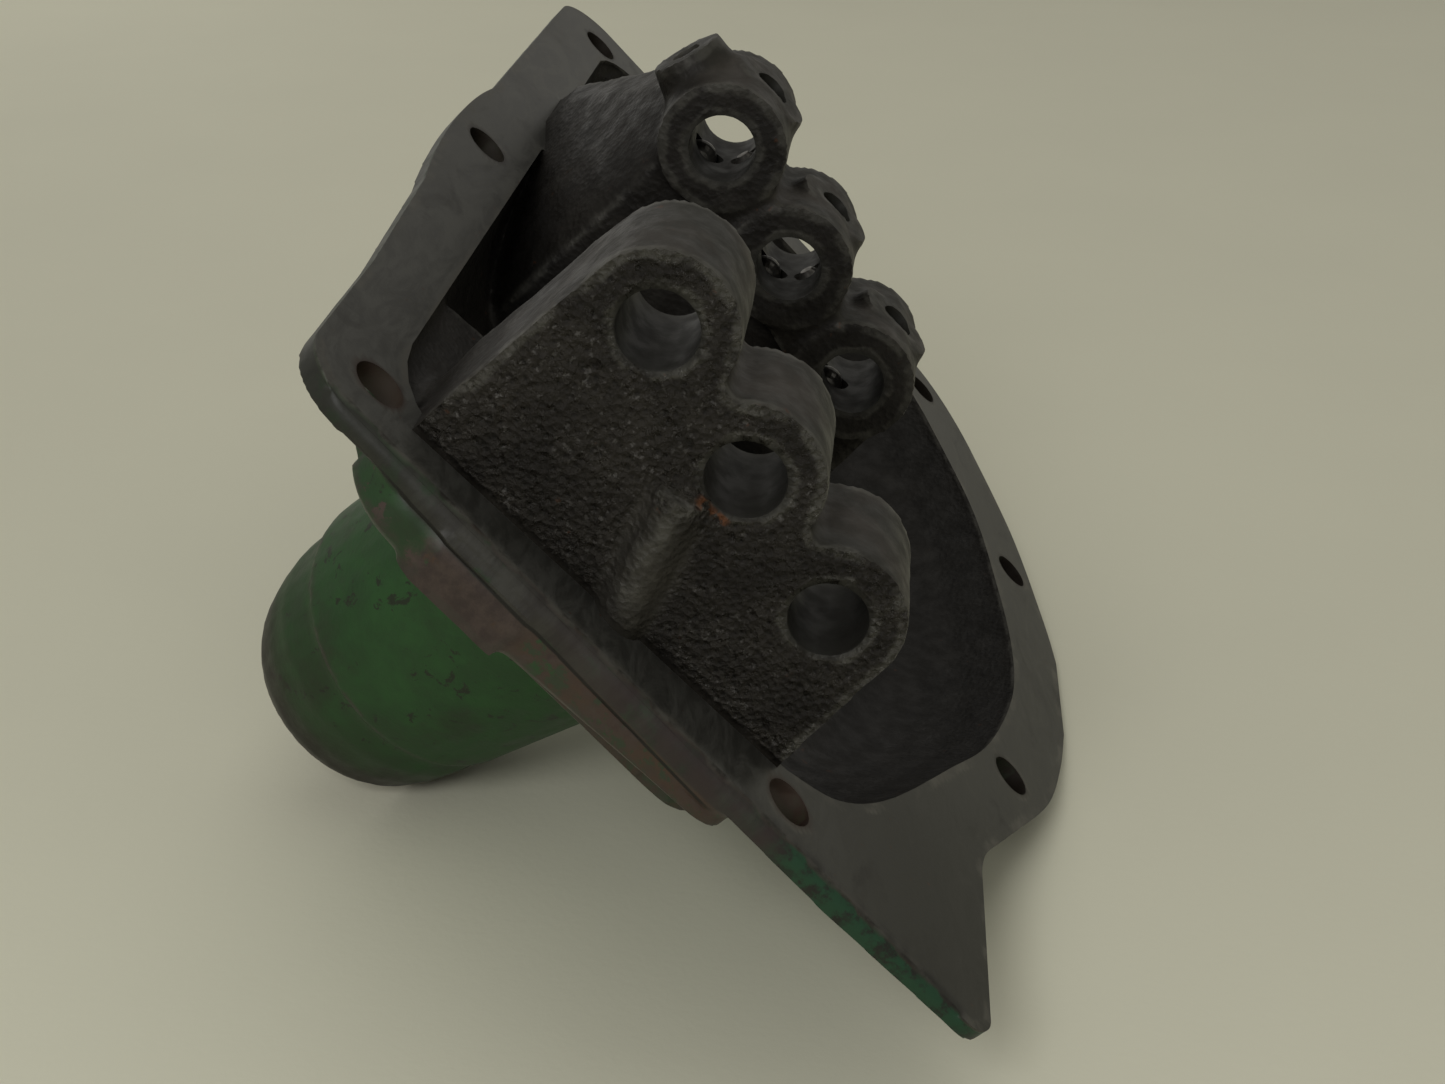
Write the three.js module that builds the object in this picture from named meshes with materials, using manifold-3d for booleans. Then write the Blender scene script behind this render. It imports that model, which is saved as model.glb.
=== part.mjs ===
// Gear-shift cover of a tractor gearbox: one iron casting with a gasket flange, a shallow pan,
// two bridge walls bored for three shift rails, and a leaning lever tower on its back, together
// with the detent and interlock pieces that sit in its drillings.
//
// Everything is drawn in the machining frame: X across the rails, Y along the rails, Z square to
// the gasket face and pointing out of the pan, with the face at z = 0. The finished group is
// then turned into the pose in which the casting lies on a bench, standing on z = 0.
// Units are millimetres.

import * as THREE from 'three';
import { mergeVertices } from 'three/addons/utils/BufferGeometryUtils.js';
import Module from 'manifold-3d';

const wasm = await Module();
wasm.setup();

// ---- driving dimensions -------------------------------------------------------------------

const FLANGE_THICKNESS = 6.5;
const BOLT_HOLE_RADIUS = 6.75;
const BOLT_CORNER_RADIUS = 18;
const SPOT_FACE_RADIUS = 10.5;

const BOLTS = {
  farLeft: [-137, 348],
  midLeft: [-148.5, 179.5],
  nearLeft: [-135.6, 14.7],
  nearRight: [0, 0],
  lowRight: [85.7, 109],
  midRight: [93.4, 251.3],
  farRight: [44, 336],
};

const PAN_DEPTH = 44;
const PAN_SIDE = 16;
const PAN_PAD = { left: -104, right: -77, depth: 20 };
const PAN_CENTRE = [-25, 180];
const CAVITY_DEPTH = 36;

const RAIL_RADIUS = 9.525;
const RAIL_X = [-103.3, -65, -26.7];
const RAIL_Z = [57.9, 47.4, 36.9];
const BOSS_RADIUS = 18.6;

const NEAR_WALL = { front: 9, back: 44, bossFront: 9, bossBack: 44 };
const NEAR_CORE = { front: 20, sides: [-116, -16], tops: [34, 8] };
const FAR_WALL = { front: 163, back: 192, bossFront: 152.7, bossBack: 194.3, joinFront: 154.6 };
const FAR_JOIN = { rise: 7, drop: 15 };
const FIN_FOOT = { front: 236, back: 264 };
const LEDGE_TOP = -4;
const FAR_RIBS = { x: [-84, -46], thickness: 7, back: 352, top: -10 };
const WALL_FOOT = -40;
const WEB_RISE = 7;

const DETENT_Y = 173.5;
const DETENT_TOP = 17.7;
const DETENT_PAD_RADIUS = 13;
const DETENT_DRILL_RADIUS = 5.6;
const DETENT_DRILL_FOOT = -36.5;

const BALL_RADIUS = 5.15;
const BALL_PROUD = 2.6;
const SPRING_COIL_RADIUS = 4.2;
const SPRING_WIRE_RADIUS = 0.6;
const SPRING_TURNS = 6;

const INTERLOCK_DRILL_RADIUS = 4.2;
const INTERLOCK_PIN = { radius: 3.85, tip: 1.9, taper: 2.2 };
const INTERLOCK_PIN_PROUD = 1.25;
const INTERLOCK_MOUTH = 25.5;
const INTERLOCK_PLUG = { radius: 3.85, length: 5, recess: 4.5 };

const CLEARANCE = 0.3;

const TOWER_FOOT = [-59.7, 103, 0];
const TOWER_LEAN = 0.27;
const TOWER_NOSE_START = 109;
const TOWER_LENGTH = 148;
const TOWER_BODY_RADIUS = 45.2;
const TOWER_ROOT = { length: 26, radius: 48.5, shift: [8, -3] };
const TOWER_NOSE_RADIUS = 42.8;
const TOWER_RIM_RADIUS = 36;
const TOWER_MOUTH_RADIUS = 25;
const TOWER_BORE_RADIUS = 36;
const BALL_SEAT_RADIUS = 31;

const RIB_RADIUS = 7;

// Lying pose: the turn about the rails at which the casting rests steadily on a bench.
const BENCH_TURN = THREE.MathUtils.degToRad(45.63);

// ---- materials ----------------------------------------------------------------------------

const material = (color, roughness, metalness) =>
  new THREE.MeshStandardMaterial({ color, roughness, metalness });

const castIron = material(0x3a3733, 0.75, 0.5);
const brightSteel = material(0x9a9a98, 0.3, 0.9);
const springSteel = material(0x5d5b58, 0.4, 0.9);
const plugSteel = material(0x4b4a47, 0.5, 0.8);

// ---- solids -------------------------------------------------------------------------------

function solid(geometry) {
  geometry.deleteAttribute('normal');
  geometry.deleteAttribute('uv');
  const merged = mergeVertices(geometry, 1e-4);
  return new wasm.Manifold(new wasm.Mesh({
    numProp: 3,
    vertProperties: new Float32Array(merged.attributes.position.array),
    triVerts: new Uint32Array(merged.index.array),
  }));
}

function mesh(name, body, finish) {
  const { vertProperties, triVerts } = body.getMesh();
  const geometry = new THREE.BufferGeometry();
  geometry.setAttribute('position', new THREE.BufferAttribute(vertProperties, 3));
  geometry.setIndex(new THREE.BufferAttribute(triVerts, 1));
  geometry.computeVertexNormals();
  const piece = new THREE.Mesh(geometry, finish);
  piece.name = name;
  return piece;
}

const union = (bodies) => bodies.reduce((whole, body) => whole.add(body));
const without = (whole, cutters) => cutters.reduce((rest, cutter) => rest.subtract(cutter), whole);

// A round bar from one point to another, with its own radius at each end.
function bar(from, to, startRadius, endRadius = startRadius, sides = 32) {
  const start = new THREE.Vector3(...from);
  const end = new THREE.Vector3(...to);
  const along = end.clone().sub(start);
  const geometry = new THREE.CylinderGeometry(endRadius, startRadius, along.length(), sides);
  const turn = new THREE.Quaternion().setFromUnitVectors(
    new THREE.Vector3(0, 1, 0), along.clone().normalize());
  geometry.applyQuaternion(turn);
  geometry.translate(...start.add(end).multiplyScalar(0.5).toArray());
  return solid(geometry);
}

// A turned body: a closed profile of [radius, distance] pairs along a way out from a point.
function turned(profile, from, way, sides) {
  const points = profile.map(([radius, distance]) => new THREE.Vector2(radius, distance));
  const geometry = new THREE.LatheGeometry(points, sides);
  geometry.applyQuaternion(new THREE.Quaternion().setFromUnitVectors(
    new THREE.Vector3(0, 1, 0), way));
  geometry.translate(...from);
  return solid(geometry);
}

// A plate between two heights, cut to an outline in X and Y.
function plate(outline, bottom, top, curveSegments = 10) {
  const geometry = new THREE.ExtrudeGeometry(
    outline, { depth: top - bottom, bevelEnabled: false, curveSegments });
  geometry.translate(0, 0, bottom);
  return solid(geometry);
}

// A slab across the rails between two depths, cut to an outline in X and Z.
function slab(outline, front, back, curveSegments = 10) {
  const geometry = new THREE.ExtrudeGeometry(
    outline, { depth: back - front, bevelEnabled: false, curveSegments });
  geometry.rotateX(Math.PI / 2);
  geometry.translate(0, back, 0);
  return solid(geometry);
}

// A bowl shape: one outline repeated at several heights, drawn in towards the pan's centre.
function bowl(outline, levels) {
  const ring = outline.getPoints(6).slice(0, -1);
  if (THREE.ShapeUtils.isClockWise(ring)) ring.reverse();
  const positions = [];
  const [cx, cy] = PAN_CENTRE;
  for (const [z, scale] of levels) {
    for (const p of ring) {
      positions.push(cx + (p.x - cx) * scale, cy + (p.y - cy) * scale, z);
    }
  }
  const count = ring.length;
  const index = [];
  for (let level = 0; level < levels.length - 1; level += 1) {
    for (let i = 0; i < count; i += 1) {
      const a = level * count + i;
      const b = level * count + (i + 1) % count;
      index.push(a, b, b + count, a, b + count, a + count);
    }
  }
  const last = (levels.length - 1) * count;
  for (const [a, b, c] of THREE.ShapeUtils.triangulateShape(ring, [])) {
    index.push(c, b, a, last + a, last + b, last + c);
  }
  const geometry = new THREE.BufferGeometry();
  geometry.setAttribute('position', new THREE.Float32BufferAttribute(positions, 3));
  geometry.setIndex(index);
  return solid(geometry);
}

// ---- outlines -----------------------------------------------------------------------------

const vector2 = ([x, y]) => new THREE.Vector2(x, y);

// Outer edge of the gasket flange, with the long pointed tip beyond the near right bolt.
function flangeOutline() {
  const half = Math.PI;
  const outline = new THREE.Shape();
  outline.absarc(...BOLTS.nearLeft, BOLT_CORNER_RADIUS, half, half * 1.48);
  outline.absarc(63.5, -12.5, 8.5, -half * 0.52, -half * 0.02);
  outline.lineTo(70.8, 44);
  outline.quadraticCurveTo(70.6, 52, 74, 59);
  outline.splineThru([[84, 77], [103, 113], [111.5, 143], [115.3, 167]].map(vector2));
  outline.lineTo(115.3, 213);
  outline.splineThru([[110, 237], [95, 284], [72, 326]].map(vector2));
  outline.quadraticCurveTo(55, 352, 36, 355);
  outline.absarc(...BOLTS.farLeft, BOLT_CORNER_RADIUS + 1.5, half * 0.48, half);
  outline.lineTo(-157.5, 222);
  outline.quadraticCurveTo(-160.5, 205, -160.5, 180);
  outline.quadraticCurveTo(-160.5, 152, -156.5, 125);
  outline.lineTo(-153.6, 62);
  return outline;
}

// Inner edge of the flange, which is the mouth of the pan.
function mouthOutline() {
  const outline = new THREE.Shape();
  outline.moveTo(-134.5, 42);
  outline.quadraticCurveTo(-133, 13, -104, 12);
  outline.lineTo(-2, 11.5);
  outline.splineThru([[16, 18.5], [34, 39], [58, 81], [76, 115], [89, 158], [90.5, 192],
    [84.5, 228], [72, 272], [46, 313]].map(vector2));
  outline.quadraticCurveTo(28, 336, -6, 340);
  outline.lineTo(-112, 350);
  outline.quadraticCurveTo(-134.5, 351, -134.5, 326);
  return outline;
}

// Outside of the pan where it meets the flange. The near side is flush with the flange edge.
function panOutline() {
  const outline = new THREE.Shape();
  outline.moveTo(-143, 68);
  outline.quadraticCurveTo(-139, 34, -130, 12);
  outline.quadraticCurveTo(-124, -4, -114, -5.8);
  outline.lineTo(-18, -12.5);
  outline.quadraticCurveTo(-9, -12, -8.8, -3);
  outline.quadraticCurveTo(-8.6, 7.6, 2, 7.8);
  outline.splineThru([[19, 12], [41, 35], [65, 77], [84, 113], [96, 156], [98, 192],
    [92, 230], [79, 276], [52, 319]].map(vector2));
  outline.quadraticCurveTo(34, 344, -2, 348);
  outline.lineTo(-112, 358);
  outline.quadraticCurveTo(-143, 359, -143, 326);
  return outline;
}

// A bridge wall seen along the rails: straight flanks, and a top that slopes with the bosses.
function wallOutline(left, right) {
  const slope = (RAIL_Z[2] - RAIL_Z[0]) / (RAIL_X[2] - RAIL_X[0]);
  const topAt = (x) => RAIL_Z[0] + WEB_RISE + slope * (x - RAIL_X[0]);
  const outline = new THREE.Shape();
  outline.moveTo(left, WALL_FOOT);
  outline.lineTo(right + 4, WALL_FOOT);
  outline.lineTo(right, 12);
  outline.lineTo(RAIL_X[2] + BOSS_RADIUS, RAIL_Z[2]);
  outline.lineTo(RAIL_X[2], topAt(RAIL_X[2]));
  outline.lineTo(RAIL_X[0], topAt(RAIL_X[0]));
  outline.lineTo(RAIL_X[0] - BOSS_RADIUS, RAIL_Z[0]);
  outline.lineTo(left, 12);
  outline.closePath();
  return outline;
}

// ---- the casting --------------------------------------------------------------------------

function railBars(radius, front, back, sides = 36) {
  return RAIL_X.map((x, i) => bar([x, front, RAIL_Z[i]], [x, back, RAIL_Z[i]], radius, radius, sides));
}

// The near wall is cored from behind, below its bosses, so that it is a skin and not a block.
function nearWallCore() {
  const [left, right] = NEAR_CORE.sides;
  const core = new THREE.Shape();
  core.moveTo(left, WALL_FOOT - 1);
  core.lineTo(right, WALL_FOOT - 1);
  core.lineTo(right, NEAR_CORE.tops[1]);
  core.lineTo(left, NEAR_CORE.tops[0]);
  core.closePath();
  return slab(core, NEAR_CORE.front, NEAR_WALL.back + 1);
}

// A ledge just under the gasket face fills the corner between the near wall and the pan's side.
function nearLedge() {
  const ledge = new THREE.Shape();
  ledge.moveTo(-140, 28);
  ledge.lineTo(-115, 28);
  ledge.lineTo(-115, 84);
  ledge.quadraticCurveTo(-130, 86, -140, 78);
  ledge.closePath();
  return plate(ledge, WALL_FOOT, LEDGE_TOP);
}

function nearWall() {
  const web = slab(wallOutline(-124, -6), NEAR_WALL.front, NEAR_WALL.back);
  const bosses = railBars(BOSS_RADIUS, NEAR_WALL.bossFront, NEAR_WALL.bossBack);
  const rib = bar([-72, NEAR_WALL.front + 2, 34], [-58, NEAR_WALL.front + 2, -4], RIB_RADIUS);
  return union([web.subtract(nearWallCore()), ...bosses, rib, nearLedge()]);
}

// Unit vector along the interlock drilling, from the first rail bore towards the third.
const interlockWay = new THREE.Vector3(
  RAIL_X[2] - RAIL_X[0], 0, RAIL_Z[2] - RAIL_Z[0]).normalize();

function onInterlock(distance) {
  const start = new THREE.Vector3(RAIL_X[0], DETENT_Y, RAIL_Z[0]);
  return start.addScaledVector(interlockWay, distance).toArray();
}

// Low ribs on the pan's floor, from the far wall to the far edge.
function farRibs() {
  const length = FAR_RIBS.back - FAR_WALL.back + 2;
  const height = FAR_RIBS.top - WALL_FOOT;
  return FAR_RIBS.x.map((x) => {
    const rib = new THREE.BoxGeometry(FAR_RIBS.thickness, length, height);
    rib.translate(x, FAR_RIBS.back - length / 2, FAR_RIBS.top - height / 2);
    return solid(rib);
  });
}

// Seen from above, the far web is straight under the bosses and sweeps back to the pan's left
// side, where it fades out into the flange as a fin.
function farWeb() {
  const { front, back } = FAR_WALL;
  const plan = new THREE.Shape();
  plan.moveTo(-2, front);
  plan.lineTo(-112, front);
  plan.quadraticCurveTo(-124, front + 9, -138, FIN_FOOT.front);
  plan.lineTo(-138, FIN_FOOT.back + 6);
  plan.quadraticCurveTo(-124, back + 14, -108, back);
  plan.lineTo(-2, back);
  plan.closePath();
  const side = new THREE.Shape();
  side.moveTo(front - 20, 100);
  side.lineTo(DETENT_Y + 6, RAIL_Z[0] + DETENT_TOP);
  side.lineTo(FIN_FOOT.back, 0);
  side.lineTo(FIN_FOOT.back + 8, WALL_FOOT);
  side.lineTo(front - 20, WALL_FOOT);
  side.closePath();
  const sideBody = new THREE.ExtrudeGeometry(side, { depth: 200, bevelEnabled: false });
  sideBody.rotateX(Math.PI / 2);
  sideBody.rotateZ(Math.PI / 2);
  sideBody.translate(-160, 0, 0);
  const across = slab(wallOutline(-138, -6), front - 5, FIN_FOOT.back + 20);
  return plate(plan, WALL_FOOT, 100).intersect(solid(sideBody)).intersect(across);
}

// The far bosses run together: a thicker strip of web joins them just behind their faces.
function farJoin() {
  const { rise, drop } = FAR_JOIN;
  const [left, , right] = RAIL_X;
  const [high, , low] = RAIL_Z;
  const strip = new THREE.Shape();
  strip.moveTo(left, high + rise);
  strip.lineTo(left, high - drop);
  strip.lineTo(right, low - drop);
  strip.lineTo(right, low + rise);
  strip.closePath();
  return slab(strip, FAR_WALL.joinFront, FAR_WALL.front + 2);
}

function farWall() {
  const bosses = railBars(BOSS_RADIUS, FAR_WALL.bossFront, FAR_WALL.bossBack);
  const pads = RAIL_X.map((x, i) => bar(
    [x, DETENT_Y, RAIL_Z[i]], [x, DETENT_Y, RAIL_Z[i] + DETENT_TOP], DETENT_PAD_RADIUS + 3,
    DETENT_PAD_RADIUS));
  const mouth = bar(onInterlock(0), onInterlock(-INTERLOCK_MOUTH), 15, 10.5);
  return union([farWeb(), farJoin(), ...bosses, ...pads, mouth, ...farRibs()]);
}

// Lengths along the tower's leaning axis are heights below the gasket face.
const towerWay = new THREE.Vector3(0, TOWER_LEAN, -1).normalize();

function onTower(length) {
  return [TOWER_FOOT[0], TOWER_FOOT[1] + TOWER_LEAN * length, -length];
}

function onTowerAxis(profile) {
  const stretch = Math.hypot(1, TOWER_LEAN);
  return turned(profile.map(([radius, length]) => [radius, length * stretch]),
    TOWER_FOOT, towerWay, 40);
}

function towerOutside() {
  const root = onTower(TOWER_ROOT.length);
  const rootCentre = [root[0] + TOWER_ROOT.shift[0], root[1] + TOWER_ROOT.shift[1], root[2]];
  const body = bar(rootCentre, onTower(TOWER_NOSE_START), TOWER_ROOT.radius, TOWER_BODY_RADIUS, 40);
  const start = TOWER_NOSE_START - 8;
  const nose = onTowerAxis([
    [0, start], [TOWER_NOSE_RADIUS, start], [TOWER_NOSE_RADIUS, TOWER_LENGTH - 24],
    [TOWER_NOSE_RADIUS - 1.6, TOWER_LENGTH - 14], [TOWER_RIM_RADIUS + 2.6, TOWER_LENGTH - 5],
    [TOWER_RIM_RADIUS, TOWER_LENGTH - 0.5], [TOWER_RIM_RADIUS - 2, TOWER_LENGTH],
    [0, TOWER_LENGTH]]);
  return body.add(nose);
}

function towerInside() {
  return onTowerAxis([
    [0, 24], [TOWER_BORE_RADIUS, 24], [TOWER_BORE_RADIUS, TOWER_NOSE_START - 10],
    [BALL_SEAT_RADIUS, TOWER_LENGTH - 28],
    [BALL_SEAT_RADIUS - 1, TOWER_LENGTH - 18], [TOWER_MOUTH_RADIUS, TOWER_LENGTH - 9],
    [TOWER_MOUTH_RADIUS, TOWER_LENGTH - 3], [TOWER_MOUTH_RADIUS + 3, TOWER_LENGTH + 1],
    [0, TOWER_LENGTH + 1]]);
}

function boltHoles() {
  return Object.values(BOLTS).map(([x, y]) => bar(
    [x, y, -FLANGE_THICKNESS - 4], [x, y, 4], BOLT_HOLE_RADIUS, BOLT_HOLE_RADIUS, 28));
}

function spotFaces() {
  return Object.entries(BOLTS).filter(([place]) => place !== 'nearRight').map(([, [x, y]]) => bar(
    [x, y, -FLANGE_THICKNESS - PAN_DEPTH], [x, y, -FLANGE_THICKNESS], SPOT_FACE_RADIUS,
    SPOT_FACE_RADIUS, 28));
}

function detentDrillings() {
  return RAIL_X.map((x, i) => bar([x, DETENT_Y, RAIL_Z[i] + DETENT_DRILL_FOOT],
    [x, DETENT_Y, RAIL_Z[i] + DETENT_TOP + 10], DETENT_DRILL_RADIUS, DETENT_DRILL_RADIUS, 28));
}

function panOutside() {
  return bowl(panOutline(), [[-PAN_DEPTH, 0.74], [-PAN_DEPTH + 8, 0.82], [-PAN_DEPTH + 18, 0.91],
    [-PAN_SIDE - 2.5, 0.985], [-PAN_SIDE, 1], [-FLANGE_THICKNESS / 2, 1]]);
}

function panInside() {
  return bowl(mouthOutline(), [[-CAVITY_DEPTH, 0.74], [-CAVITY_DEPTH + 2, 0.8],
    [-CAVITY_DEPTH + 8, 0.87], [-CAVITY_DEPTH + 18, 0.94], [-5, 0.99], [-2, 1], [1, 1]]);
}

// A shallow pad on the near side of the pan, standing just proud of it.
function panPad() {
  const { left, right, depth } = PAN_PAD;
  const pad = new THREE.Shape();
  pad.moveTo(left - 3, -5.6);
  pad.lineTo(left + 1, -8);
  pad.lineTo(right, -9.6);
  pad.lineTo(right, 6);
  pad.lineTo(left - 3, 6);
  pad.closePath();
  return plate(pad, -depth, -FLANGE_THICKNESS / 2);
}

// The walls stand on the pan's floor, so below the flange they keep inside the pan's own shape.
function bridgeWalls() {
  const above = new THREE.BoxGeometry(400, 500, 200);
  above.translate(0, 150, 100 - FLANGE_THICKNESS / 2);
  return union([nearWall(), farWall()]).intersect(panOutside().add(solid(above)));
}

function castingBody() {
  const outside = union(
    [plate(flangeOutline(), -FLANGE_THICKNESS, 0), panOutside(), panPad(), towerOutside()]);
  const walled = without(outside, [panInside(), towerInside()]).add(bridgeWalls());
  const interlock = bar(onInterlock(-40), onInterlock(2 * railPitch()), INTERLOCK_DRILL_RADIUS,
    INTERLOCK_DRILL_RADIUS, 28);
  return without(walled, [
    ...boltHoles(), ...spotFaces(), ...railBars(RAIL_RADIUS, -30, 230),
    ...detentDrillings(), interlock,
  ]);
}

// ---- detent and interlock pieces ----------------------------------------------------------

function railPitch() {
  return Math.hypot(RAIL_X[1] - RAIL_X[0], RAIL_Z[1] - RAIL_Z[0]);
}

const ballRest = -RAIL_RADIUS + BALL_PROUD - BALL_RADIUS;

function detentBall(i) {
  const geometry = new THREE.SphereGeometry(BALL_RADIUS, 20, 14);
  geometry.translate(RAIL_X[i], DETENT_Y, RAIL_Z[i] + ballRest);
  return solid(geometry);
}

// A coil spring standing on the bottom of the drilling and reaching to just under the ball.
function detentSpring(i) {
  const foot = RAIL_Z[i] + DETENT_DRILL_FOOT + SPRING_WIRE_RADIUS + CLEARANCE;
  const head = RAIL_Z[i] + ballRest - BALL_RADIUS - SPRING_WIRE_RADIUS - CLEARANCE;
  const helix = new THREE.Curve();
  helix.getPoint = (t, target = new THREE.Vector3()) => {
    const angle = 2 * Math.PI * SPRING_TURNS * t;
    return target.set(RAIL_X[i] + SPRING_COIL_RADIUS * Math.cos(angle),
      DETENT_Y + SPRING_COIL_RADIUS * Math.sin(angle), foot + (head - foot) * t);
  };
  const wire = new THREE.Shape().absarc(0, 0, SPRING_WIRE_RADIUS, 0, 2 * Math.PI);
  return solid(new THREE.ExtrudeGeometry(
    wire, { steps: 12 * SPRING_TURNS, extrudePath: helix, curveSegments: 3 }));
}

// A plunger with tapered ends that bridges the land between two rail bores.
function interlockPin(i) {
  const end = railPitch() / 2 - RAIL_RADIUS + INTERLOCK_PIN_PROUD;
  const { radius, tip, taper } = INTERLOCK_PIN;
  return turned([[0, -end], [tip, -end], [radius, taper - end], [radius, end - taper],
    [tip, end], [0, end]], onInterlock(railPitch() * (i + 0.5)), interlockWay, 24);
}

function interlockPlug() {
  const outer = -INTERLOCK_MOUTH + INTERLOCK_PLUG.recess;
  return bar(onInterlock(outer + INTERLOCK_PLUG.length), onInterlock(outer),
    INTERLOCK_PLUG.radius, INTERLOCK_PLUG.radius, 24);
}

// ---- assembly -----------------------------------------------------------------------------

const machining = new THREE.Group();
machining.add(mesh('cover_casting', castingBody(), castIron));
for (let i = 0; i < RAIL_X.length; i += 1) {
  machining.add(mesh(`detent_ball_${i + 1}`, detentBall(i), brightSteel));
  machining.add(mesh(`detent_spring_${i + 1}`, detentSpring(i), springSteel));
}
machining.add(mesh('interlock_pin_12', interlockPin(0), brightSteel));
machining.add(mesh('interlock_pin_23', interlockPin(1), brightSteel));
machining.add(mesh('interlock_plug', interlockPlug(), plugSteel));

machining.rotation.y = BENCH_TURN;

const cover = new THREE.Group();
cover.add(machining);
cover.updateMatrixWorld(true);

// Stand the lying casting on z = 0, with the origin under the middle of its box.
const box = new THREE.Box3().setFromObject(cover, true);
const middle = box.getCenter(new THREE.Vector3());
machining.position.set(-middle.x, -middle.y, -box.min.z);

export default cover;
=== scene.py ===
"""Looks of a tractor gearbox's gear-shift cover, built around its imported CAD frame.

The casting is rebuilt from its CAD node as one dense skin: machined faces, bores and drillings
stay where they are, and everything the sand mould shaped gets fillets and a cast surface.
Shapes and masks are worked out in the machining frame: x across the rails, y along them and z
square to the gasket face, which is z = 0. Lengths there are in millimetres.
"""

import math
from types import SimpleNamespace

import bpy
import numpy as np
from mathutils import Euler, Matrix, Vector, noise


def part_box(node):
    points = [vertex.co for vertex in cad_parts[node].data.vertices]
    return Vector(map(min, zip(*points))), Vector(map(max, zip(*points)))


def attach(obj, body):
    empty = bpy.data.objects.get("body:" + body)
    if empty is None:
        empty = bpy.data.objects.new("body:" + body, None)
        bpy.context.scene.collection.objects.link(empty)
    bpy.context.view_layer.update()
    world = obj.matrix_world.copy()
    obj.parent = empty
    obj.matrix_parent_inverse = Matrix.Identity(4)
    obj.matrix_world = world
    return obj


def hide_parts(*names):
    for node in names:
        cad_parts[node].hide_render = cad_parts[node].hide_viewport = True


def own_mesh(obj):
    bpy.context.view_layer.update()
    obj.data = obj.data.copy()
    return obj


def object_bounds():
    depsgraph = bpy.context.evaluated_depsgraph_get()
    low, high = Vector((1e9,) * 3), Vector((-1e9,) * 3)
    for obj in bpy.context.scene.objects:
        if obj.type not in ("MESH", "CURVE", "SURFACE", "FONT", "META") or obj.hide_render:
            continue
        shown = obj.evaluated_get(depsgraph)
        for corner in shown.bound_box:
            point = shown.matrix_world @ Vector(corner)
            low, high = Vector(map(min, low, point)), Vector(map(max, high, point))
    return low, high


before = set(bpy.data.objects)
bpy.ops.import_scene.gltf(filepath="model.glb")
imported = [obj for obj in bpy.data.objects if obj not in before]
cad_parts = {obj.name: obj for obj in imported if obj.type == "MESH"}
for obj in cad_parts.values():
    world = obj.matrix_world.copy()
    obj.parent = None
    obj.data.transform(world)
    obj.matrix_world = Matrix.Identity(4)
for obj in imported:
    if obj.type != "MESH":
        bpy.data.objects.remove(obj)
cad_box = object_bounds()

# ---- the machining frame ------------------------------------------------------------------

MM = 0.001
TURN = math.radians(45.63)
RAIL_X = (-103.3, -65.0, -26.7)
RAIL_Z = (57.9, 47.4, 36.9)
RAIL_RADIUS = 9.525
DETENT_Y = 173.5
BALL_RADIUS = 5.15
BALL_STROKE = 2.6
BALL_1 = (RAIL_X[0], DETENT_Y, RAIL_Z[0] - RAIL_RADIUS + BALL_STROKE - BALL_RADIUS)
BOLTS = ((-137, 348), (-148.5, 179.5), (-135.6, 14.7), (0, 0), (85.7, 109), (93.4, 251.3),
         (44, 336))
SPOT_FACE_RADIUS = 10.5
FLANGE_THICKNESS = 6.5
TOWER_SLOPE = 0.27
TOWER_FOOT = np.array([-59.7, 103.0, 0.0])
TOWER_WAY = np.array([0.0, TOWER_SLOPE, -1.0]) / math.hypot(TOWER_SLOPE, 1.0)

turn = Matrix.Rotation(TURN, 3, "Y")
low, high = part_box("detent_ball_1")
origin = (low + high) / 2 - turn @ (Vector(BALL_1) * MM)
AXES = np.array(turn)
ORIGIN = np.array(origin)


def to_machining(points):
    return (points - ORIGIN) @ AXES / MM


def to_row(points):
    return (points * MM) @ AXES.T + ORIGIN


def add(name, data, place=(0, 0, 0), rotation=(0, 0, 0)):
    made = bpy.data.objects.new(name, data)
    made.location = place
    made.rotation_euler = rotation
    bpy.context.scene.collection.objects.link(made)
    return made


# ---- the casting's skin -------------------------------------------------------------------

REMESH_DEPTH = 8
REMESH_SCALE = 0.99
SHARP_ANGLE = math.radians(38)

# What a cutter made, with the distance that a remeshed point may be off it.
FACE_SLACK = 0.4
BORE_SLACK = 0.35
SPOT_SLACK = 0.3
DRILLING_REACH = 6.0
DRILLING_SPAN = (-40, 25)
BOLT_WALL_RADIUS = 7.4
BOLT_WALL_MIDDLE = 4
BOLT_WALL_HALF = 4.1

# Fillets, and the relief that the sand left: depth and size of each.
FILLET_ROUNDS = 16
FILLET_WEIGHT = 0.5
CONVEX_SHARE = 0.12
CAST_WAVE = (0.28, 8.0)
CAST_PEBBLE = (0.10, 4.2)
PAINT_COVER = 0.75

# The flange's near edge: y at x = start, slope, start. Its tip thins from x = 20 to x = 60.
NEAR_EDGE = (-3.6, -0.0893, -135.6)
NEAR_EDGE_RADIUS = 4.5
NEAR_EDGE_END = 62
TIP_START = 20
TIP_LENGTH = 40
TIP_BACK = 45
TIP_THINNING = 0.3

# The crease between flange and pan, as x and the z it runs at, and the band below it.
CREASE = ((-132.0, -62.0, -19.0), (-6.6, -8.2, -10.0))
CREASE_ENDS = (-136, -16)
CREASE_WIDTH = 1.6
CREASE_DEPTH = 0.9
BAND_TOP = -10
BAND_FOOT = -30
BAND_TAPER = ((-75.0, -14.0), (1.0, 0.55))

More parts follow.
